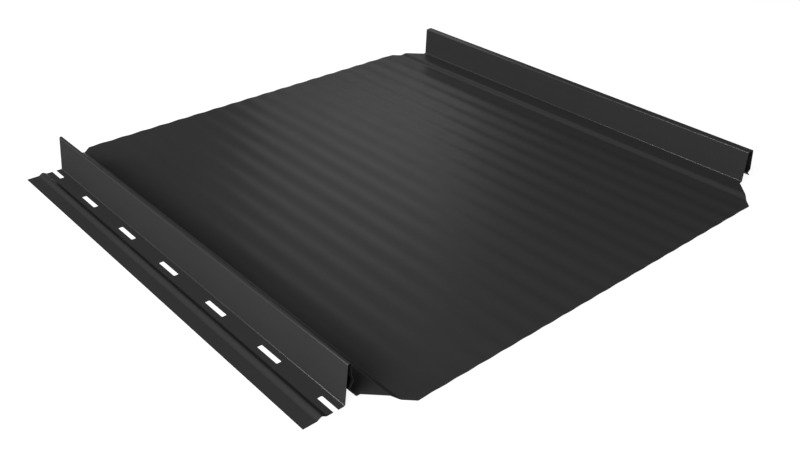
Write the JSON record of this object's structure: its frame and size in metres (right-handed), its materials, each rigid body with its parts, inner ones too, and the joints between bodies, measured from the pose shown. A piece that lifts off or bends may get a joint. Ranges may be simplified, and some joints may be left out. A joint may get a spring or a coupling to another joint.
{
  "type": "standing seam roof panel",
  "caption": "Roll-formed steel roof panel with shallow lengthways waves, a slotted nailing flange and male seam rib on one edge, a female snap-lock seam rib on the other, and notched ends.",
  "frame": {"origin": "middle of the footprint, in the plane of the pan's underside", "axes": "+X from the male rib and its nailing flange to the female rib, across the cover width; +Y along the seams, up the roof slope; +Z out of the roof, towards the weather"},
  "size_m": [0.5206, 0.5, 0.0341],
  "materials": {
    "coil_coating": "charcoal grey polyester coil coating, satin, on both faces"
  },
  "bodies": {
    "root": {"roof_panel": "coil_coating"}
  },
  "joints": []
}
